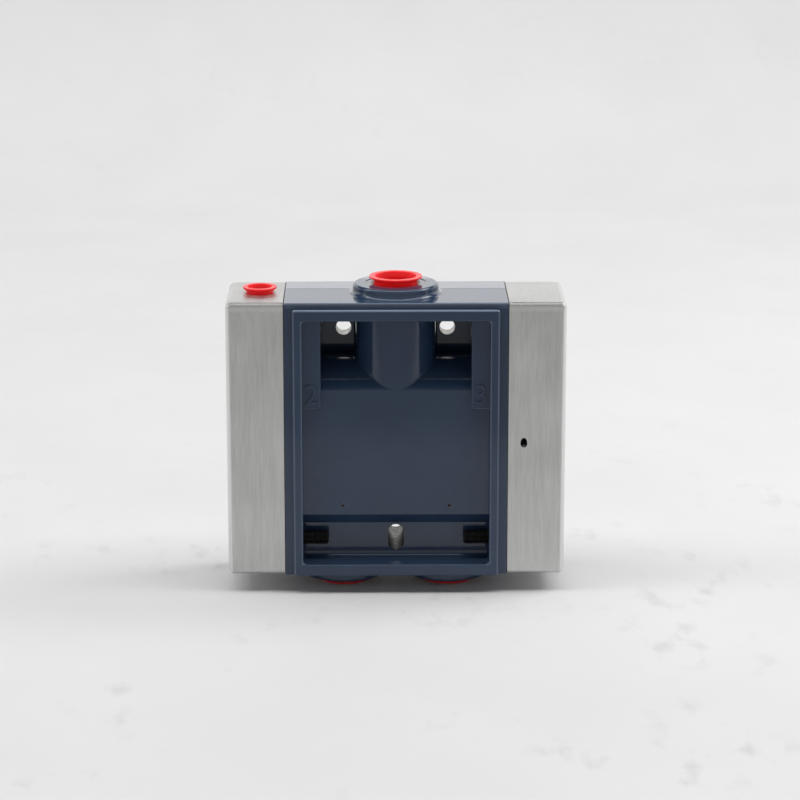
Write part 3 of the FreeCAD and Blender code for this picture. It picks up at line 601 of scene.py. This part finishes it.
def turned_surface(corners, place, axis, columns=96, steps=5):
    """Solid of revolution of a rounded profile that starts and ends on the axis."""
    outline = rounded_profile(corners, steps)
    place, axis = np.array(place, float), np.array(axis, float)
    rings = turned_rings(outline[1:-1, :1], outline[1:-1, 1], place, axis, columns)
    return ring_surface(rings, place + axis * outline[0, 1], place + axis * outline[-1, 1])


def parting_bead(y, z, start, end):
    """Bead along X: a low ellipse carried along a straight path, its lower half inside the casting's top."""
    s = settings().casting
    columns, stations = 16, 24
    turn = TURN * np.arange(columns) / columns
    across = y + s.bead_width / 2 * np.cos(turn)
    lift = z + s.bead_height * np.sin(turn)
    along = np.linspace(start, end, stations)
    rings = np.stack(np.broadcast_arrays(along[:, None], across[None, :], lift[None, :]), -1)
    return ring_surface(rings, (start, y, z), (end, y, z))


def screw_surface(tip_length, place, axis):
    """Socket head screw, ring by ring from the socket's floor to the tip: a hexagonal wall whose radius is
    flats/2 / cos(angle from the nearest flat's middle), a knurled head, a plain shank, and a thread whose
    radius follows the phase height / pitch - turn. Heights are counted from the seat, outwards."""
    s = settings().screws
    columns, rings_per_pitch = 72, 10
    turn = np.arange(columns) / columns
    top, floor = s.head_height, s.head_height - s.socket_depth
    head, shank = s.head / 2, s.thread / 2
    hexagon = s.socket / 2 / np.cos((turn * TURN + math.pi / 6) % (math.pi / 3) - math.pi / 6)
    drill_share, mouth_share = 0.55, 1.03
    mouth = s.socket / math.sqrt(3) * mouth_share
    knurl_depth = 0.22 * MM
    knurl = head - knurl_depth * (0.5 + 0.5 * np.cos(TURN * turn * s.knurls)) ** 2
    thread_top = s.threaded - tip_length
    profile = [
        (hexagon * drill_share, floor - 0.5 * MM),
        (hexagon, floor),
        (hexagon, top - 0.35 * MM),
        (mouth, top),
        (head - 0.7 * MM, top),
        (head - 0.45 * MM, top - 0.08 * MM),
        (head - 0.25 * MM, top - 0.35 * MM),
        (knurl, top - 0.75 * MM),
        (knurl, 0.7 * MM),
        (head - 0.3 * MM, 0.35 * MM),
        (head - 0.45 * MM, 0.0),
        (shank + 0.3 * MM, 0.0),
        (shank, -0.3 * MM),
        (shank, thread_top),
    ]
    levels = np.linspace(thread_top, -tip_length, int(s.threaded / s.pitch * rings_per_pitch) + 1)[1:, None]
    groove_depth, run_out, point = 0.6134 * s.pitch, 1.5 * s.pitch, 1.1 * MM
    flank_slope, crest_flat = 3.2, 0.3
    phase = (levels / s.pitch - turn) % 1.0
    groove = np.clip(abs(phase - 0.5) * flank_slope - crest_flat, 0, 1)
    fade = np.clip((thread_top - levels) / run_out, 0, 1)
    tip = shank - np.clip(point - (levels + tip_length), 0, None)
    thread = np.minimum(shank - groove_depth * groove * fade, tip)
    radii = np.vstack([*(np.broadcast_to(radius, columns) for radius, height in profile), thread])
    heights = np.concatenate([[height for radius, height in profile], levels[:, 0]])
    place, axis = np.array(place, float), np.array(axis, float)
    rings = turned_rings(radii, heights, place, axis, columns)
    return ring_surface(rings, place + axis * (floor - 0.9 * MM), place - axis * tip_length)


def coil_surface(start_x, end_x):
    """Coil spring: a circle carried along a helix about the spool axis. The end turns rise by one wire
    diameter, the rest share what is left, and the outer sides of the end turns are ground flat."""
    s = settings().works
    wire, radius, turns = s.wire_diameter / 2, s.coil_radius, s.turns
    around, per_turn = 16, 48
    ground_to = 0.7 * wire
    first_x, last_x = start_x + ground_to, end_x - ground_to
    along = np.linspace(0, turns, turns * per_turn + 1)
    x = np.interp(along, [0, 1, turns - 1, turns], [first_x, first_x + 2 * wire, last_x - 2 * wire, last_x])
    swing = TURN * along
    outward = np.stack([np.zeros_like(swing), np.cos(swing), np.sin(swing)], -1)
    axis_points = np.stack([x, np.full_like(x, spool_axis_y), np.full_like(x, spool_axis_z)], -1)
    centre = axis_points + outward * radius
    turn = TURN * np.arange(around) / around
    section = outward[:, None] * (wire * np.cos(turn))[None, :, None]
    section = section + np.array([1.0, 0, 0]) * (wire * np.sin(turn))[None, :, None]
    rings = centre[:, None] + section
    rings[..., 0] = np.clip(rings[..., 0], start_x, end_x)
    return ring_surface(rings, centre[0], centre[-1])


def plug_corners(body, tip, depth, mouth, lip, standoff, lip_height):
    """Profile of a hollow plug from the middle of its closed tip, out over the body and the lip's sloping
    underside, down the mouth and back to the middle of its floor. Heights count from the port's face."""
    s = settings().plugs
    wall, edge = s.wall, s.edge
    mouth_depth, lip_slope = 3.0 * MM, 0.9 * MM
    top = standoff + lip_height
    return [
        (0, -depth, 0),
        (tip, -depth, edge * 1.6),
        (body, standoff, 0),
        (body + 0.5 * MM, standoff + 0.1 * MM, 0.2 * MM),
        (lip, top - lip_slope, edge * 0.7),
        (lip, top, edge * 0.7),
        (mouth, top, edge),
        (body - wall, top - mouth_depth, edge * 2),
        (tip - wall, wall - depth, edge),
        (0, wall - depth, 0),
    ]


# Pieces

def shown(mesh, material, body):
    """Puts a finished mesh in the scene as a piece with its material, riding on a body."""
    piece = bpy.data.objects.new(mesh.name, mesh)
    bpy.context.scene.collection.objects.link(piece)
    mesh.polygons.foreach_set("use_smooth", np.ones(len(mesh.polygons), bool))
    mesh.set_sharp_from_angle(angle=math.radians(35.0))
    mesh.materials.append(material)
    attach(piece, body)
    return piece


def finish_nodes(material, *nodes):
    """Gives these nodes of the frame the material."""
    for name in nodes:
        for slot in frame["nodes"][name].material_slots:
            slot.material = material


def figure_mesh(name, text, x, y, z):
    """Raised figure, drawn in the plane of a lug's face, its back sunk a little into the casting."""
    s = settings().casting
    capital_share = 0.7
    curve = bpy.data.curves.new(name, "FONT")
    curve.body = text
    curve.size = s.figure_height / capital_share
    curve.align_x = "CENTER"
    curve.align_y = "CENTER"
    curve.extrude = s.figure_relief
    curve.bevel_depth = 0.12 * MM
    curve.bevel_resolution = 2
    source = bpy.data.objects.new(name, curve)
    bpy.context.scene.collection.objects.link(source)
    mesh = bpy.data.meshes.new_from_object(source.evaluated_get(bpy.context.evaluated_depsgraph_get()))
    bpy.data.objects.remove(source)
    mesh.transform(Matrix.Translation((x, y, z)) @ Matrix.Rotation(math.pi / 2, 4, "X"))
    mesh.name = name
    return mesh


class VALVE_OT_casting(Operator):
    """Enamels the casting and adds its parting line and raised port numbers"""
    bl_idname = "valve.casting"
    bl_label = "Finish Casting"

    def execute(self, context):
        enamel = blue_enamel()
        finish_nodes(enamel, *CASTING)
        y = casting_front + settings().casting.parting_offset
        boss_foot, inset = 25.9 * MM, 0.3 * MM
        runs = [(-casting_half + inset, -boss_foot), (boss_foot, casting_half - inset)]
        beads = [parting_bead(y, casting_top, *run) for run in runs]
        shown(surface_mesh("casting_parting_line", beads), enamel, "valve")
        lug_face = casting_front + 2.5 * MM
        lug_middle = 45.6 * MM
        number_height = spool_axis_z + 9.0 * MM
        for name, text, x in (("left_port_number", "2", -lug_middle), ("right_port_number", "3", lug_middle)):
            shown(figure_mesh(name, text, x, lug_face, number_height), enamel, "valve")
        return {"FINISHED"}


class VALVE_OT_covers(Operator):
    """Grinds the end covers and finishes their gaskets"""
    bl_idname = "valve.covers"
    bl_label = "Finish Covers"

    def execute(self, context):
        finish_nodes(ground_aluminium(), "pilot_end_cover_front", "pilot_end_cover_back", "spring_end_cover")
        gasket = soft_material("compressed_fibre", settings().covers.fibre, roughness=0.75, size=0.4 * MM,
                               depth=0.04 * MM)
        finish_nodes(gasket, "pilot_cover_gasket", "spring_cover_gasket")
        return {"FINISHED"}


class VALVE_OT_screws(Operator):
    """Makes the threaded cover screws and finishes their washers"""
    bl_idname = "valve.screws"
    bl_label = "Make Screws"

    def execute(self, context):
        s = settings().screws
        oxide = worked_metal("black_oxide_steel", s.oxide, roughness=0.42, line=0.5 * MM, depth=0.01 * MM,
                             metallic=0.6)
        zinc = worked_metal("zinc_plated_steel", s.zinc, roughness=0.34, line=0.4 * MM, depth=0.01 * MM)
        head = s.head / 2
        low_tip, high_tip = 45.0 * MM, 35.0 * MM
        for side, node in ((-1, "pilot_cover_screws"), (1, "spring_cover_screws")):
            low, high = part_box(node)
            seat = (high.x if side > 0 else -low.x) - s.head_height
            screws = [screw_surface(tip, (side * seat, y, z), (side, 0, 0))
                      for y in (low.y + head, high.y - head)
                      for z, tip in ((low.z + head, low_tip), (high.z - head, high_tip))]
            mesh = surface_mesh(node.replace("_cover_", "_side_threaded_"), screws)
            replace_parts(shown(mesh, oxide, "valve"), node)
        finish_nodes(zinc, "pilot_cover_washers", "spring_cover_washers", "piston_bolt")
        return {"FINISHED"}


class VALVE_OT_works(Operator):
    """Finishes the sleeve, spool, piston and seals, and makes the return spring"""
    bl_idname = "valve.works"
    bl_label = "Finish Works"

    def execute(self, context):
        s = settings().works
        round_spool = (1, 20, 20)
        steel = worked_metal("ground_steel", s.steel, roughness=0.26, line=0.3 * MM, depth=0.006 * MM,
                             stretch=round_spool)
        aluminium = worked_metal("turned_aluminium", s.aluminium, roughness=0.32, line=0.25 * MM,
                                 depth=0.008 * MM, stretch=round_spool)
        rubber = soft_material("nitrile_rubber", s.rubber, roughness=0.5, size=0.5 * MM, depth=0.01 * MM)
        wire = worked_metal("drawn_spring_wire", s.wire, roughness=0.36, line=0.3 * MM, depth=0.008 * MM)
        finish_nodes(steel, "spool_sleeve", "spool", "spring_seat")
        finish_nodes(aluminium, "pilot_piston", "spring_retainer")
        finish_nodes(rubber, "sleeve_seals", "spool_seals", "piston_seal", "piston_bumper")
        finish_nodes(wire, "sleeve_circlip")

        low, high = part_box("return_spring")
        coil = surface_mesh("return_spring_coil", [coil_surface(low.x, high.x)])
        spring = shown(coil, wire, "valve")
        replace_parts(spring, "return_spring")
        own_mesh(spring)
        return {"FINISHED"}


class VALVE_OT_plugs(Operator):
    """Moulds the four red port plugs"""
    bl_idname = "valve.plugs"
    bl_label = "Make Plugs"

    def execute(self, context):
        red = red_polyethylene()
        lip_height = 2.1 * MM
        port = dict(body=11.9 * MM, tip=10.9 * MM, depth=14.0 * MM, mouth=11.2 * MM)
        pilot_port = dict(body=7.35 * MM, tip=6.5 * MM, depth=10.0 * MM, mouth=6.6 * MM)
        plugs = [("top", top_boss_face, 1, port), ("left", low_boss_face, -1, port),
                 ("right", low_boss_face, -1, port), ("pilot", casting_top, 1, pilot_port)]
        for name, face, outward, form in plugs:
            node = name + "_port_plug"
            low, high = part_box(node)
            outer = high.z if outward > 0 else -low.z
            standoff = outer - outward * face - lip_height
            corners = plug_corners(**form, lip=(high.x - low.x) / 2, standoff=standoff, lip_height=lip_height)
            middle = ((low.x + high.x) / 2, (low.y + high.y) / 2, face)
            surfaces = [turned_surface(corners, middle, (0, 0, outward))]
            if name == "pilot":
                surfaces.append(self.mould_nub(middle[0] + 0.2 * MM, middle[1] + 8.9 * MM, high.z - 0.5 * MM))
            mesh = surface_mesh(name + "_moulded_plug", surfaces)
            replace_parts(shown(mesh, red, name + "_plug"), node)
        return {"FINISHED"}

    def mould_nub(self, x, y, z):
        """The gate's nub on the pilot plug's rim: a short upright cone with rounded edges."""
        corners = [(0, -0.4 * MM, 0), (0.7 * MM, -0.3 * MM, 0.1 * MM), (0.45 * MM, 0.5 * MM, 0.2 * MM),
                   (0, 0.5 * MM, 0)]
        return turned_surface(corners, (x, y, z), (0, 0, 1), columns=16, steps=3)


class VALVE_OT_studio(Operator):
    """Sets the pale sheet, the soft light and the camera"""
    bl_idname = "valve.studio"
    bl_label = "Set Studio"

    def execute(self, context):
        s = settings().studio
        scene = context.scene
        scene.view_settings.view_transform = "Standard"
        self.lay_sheet(s)
        self.hang_softboxes(s)
        self.light_sky(s)
        camera = bpy.data.objects.new("camera", bpy.data.cameras.new("camera"))
        scene.collection.objects.link(camera)
        camera.data.lens = s.lens / MM
        camera.data.sensor_width = 36.0
        camera.data.clip_start = 0.05
        camera.location = s.camera_place
        pitch, yaw = s.camera_pitch, s.camera_yaw
        looking = Vector((math.sin(yaw) * math.cos(pitch), math.cos(yaw) * math.cos(pitch), -math.sin(pitch)))
        camera.rotation_euler = looking.to_track_quat("-Z", "Y").to_euler()
        scene.camera = camera
        return {"FINISHED"}

    def lay_sheet(self, s):
        """Sheet: a profile of a flat run and a bend that rises just past the picture's top, carried along X.
        Its scuffs are spots of noise that gather in larger patches and fade towards the back."""
        bend_start, bend_radius, half_width = 1.1, 0.5, 2.4
        bend = np.linspace(0, math.radians(53), 24)
        y = np.concatenate([[casting_front - s.sheet_front], bend_start + bend_radius * np.sin(bend)])
        z = np.concatenate([[0], bend_radius - bend_radius * np.cos(bend)])
        points = [(x, *spot) for x in (-half_width, half_width) for spot in zip(y, z)]
        count = len(y)
        faces = [(k + 1, k, k + count, k + count + 1) for k in range(count - 1)]
        mesh = bpy.data.meshes.new("sheet")
        mesh.from_pydata(points, [], faces)
        mesh.polygons.foreach_set("use_smooth", np.ones(len(mesh.polygons), bool))
        sheet = bpy.data.objects.new("sheet", mesh)
        bpy.context.scene.collection.objects.link(sheet)
        material, tree, place = new_material("pale_sheet", Roughness=0.9, Specular_IOR_Level=0.2)
        clean = mottled(tree, grain(tree, place, 120 * MM, 4.0), (0.35, 0.65), s.sheet, (0.985, 1.015))
        along = add_node(tree, "SeparateXYZ", [place])[1]
        spots = grain(tree, place, 16 * MM, 8.0, (1, 2, 1))
        marks = all_of(tree, [
            add_node(tree, "MapRange", [spots, 0.54, 0.7, 0, s.marks]),
            add_node(tree, "MapRange", [along, 50 * MM, 350 * MM, 1, 0.15]),
            add_node(tree, "MapRange", [grain(tree, place, 110 * MM, 3.0), 0.5, 0.62, 0, 1]),
        ])
        base = add_node(tree, "Mix", [marks, clean, toned(s.sheet, 0.5)], data_type="RGBA")
        feed_shader(material, Base_Color=base)
        mesh.materials.append(material)

    def hang_softboxes(self, s):
        """Softboxes at the sides and over the sheet's bend. A row has place, target, size, power and spread."""
        valve, bend = (0, 0, 0.1), (0, 1.8, 0)
        boxes = {
            "left_softbox": ((-0.93, 0.1, 1.05), valve, (0.3, 0.24), s.left_power, 180),
            "right_softbox": ((0.87, 0.32, 1.05), valve, (0.45, 0.42), s.right_power, 180),
            "back_softbox": ((0, 1.4, 1.4), bend, (1.8, 0.6), s.back_power, 90),
        }
        for name, (place, target, size, power, spread) in boxes.items():
            data = bpy.data.lights.new(name, "AREA")
            data.shape = "RECTANGLE"
            data.size, data.size_y = size
            data.energy = power
            data.spread = math.radians(spread)
            lamp = bpy.data.objects.new(name, data)
            lamp.location = place
            lamp.rotation_euler = (Vector(target) - Vector(place)).to_track_quat("-Z", "Y").to_euler()
            bpy.context.scene.collection.objects.link(lamp)

    def light_sky(self, s):
        """A sky in bands over the valve, brightest high up in front. Its strength is the sum of steps in the
        angle from the front horizon up and over to the back: start and end in degrees, what each adds before
        and after."""
        steps = [(37, 45, s.sky_front, 0), (66, 71, 0, s.sky_key), (87, 93, 0, s.sky_above - s.sky_key),
                 (112, 118, 0, -s.sky_above), (145, 151, 0, s.sky_low)]
        world = bpy.data.worlds.new("studio_world")
        bpy.context.scene.world = world
        world.use_nodes = True
        tree = world.node_tree
        background = tree.nodes["Background"]
        x, y, z = add_node(tree, "SeparateXYZ", [add_node(tree, "TexCoord", out="Generated")])
        towards_front = add_node(tree, "Math", [y, -1.0], operation="MULTIPLY")
        over = add_node(tree, "Math", [z, towards_front], operation="ARCTAN2")
        level = 0.0
        for start, end, before, after in steps:
            step = add_node(tree, "MapRange", [over, math.radians(start), math.radians(end), before, after])
            level = add_node(tree, "Math", [step, level], operation="ADD")
        tree.links.new(level, background.inputs["Strength"])
        background.inputs["Color"].default_value = (1.0, 0.998, 0.99, 1.0)


class VALVE_PT_dressing(Panel):
    """Lists the steps that dress the valve"""
    bl_idname = "VALVE_PT_dressing"
    bl_label = "Spool Valve"
    bl_space_type = "VIEW_3D"
    bl_region_type = "UI"
    bl_category = "Spool Valve"

    def draw(self, context):
        for step in STEPS:
            self.layout.operator(step.bl_idname)


STEPS = (VALVE_OT_casting, VALVE_OT_covers, VALVE_OT_screws, VALVE_OT_works, VALVE_OT_plugs, VALVE_OT_studio)
CLASSES = (CastingSettings, CoverSettings, ScrewSettings, WorksSettings, PlugSettings, StudioSettings,
           ValveSettings, *STEPS, VALVE_PT_dressing)


def register():
    for cls in CLASSES:
        bpy.utils.register_class(cls)
    bpy.types.Scene.valve_dressing = PointerProperty(type=ValveSettings)


def unregister():
    del bpy.types.Scene.valve_dressing
    for cls in reversed(CLASSES):
        bpy.utils.unregister_class(cls)


def main():
    register()
    bpy.ops.valve.casting()
    bpy.ops.valve.covers()
    bpy.ops.valve.screws()
    bpy.ops.valve.works()
    bpy.ops.valve.plugs()
    bpy.ops.valve.studio()


if __name__ == "__main__":
    main()
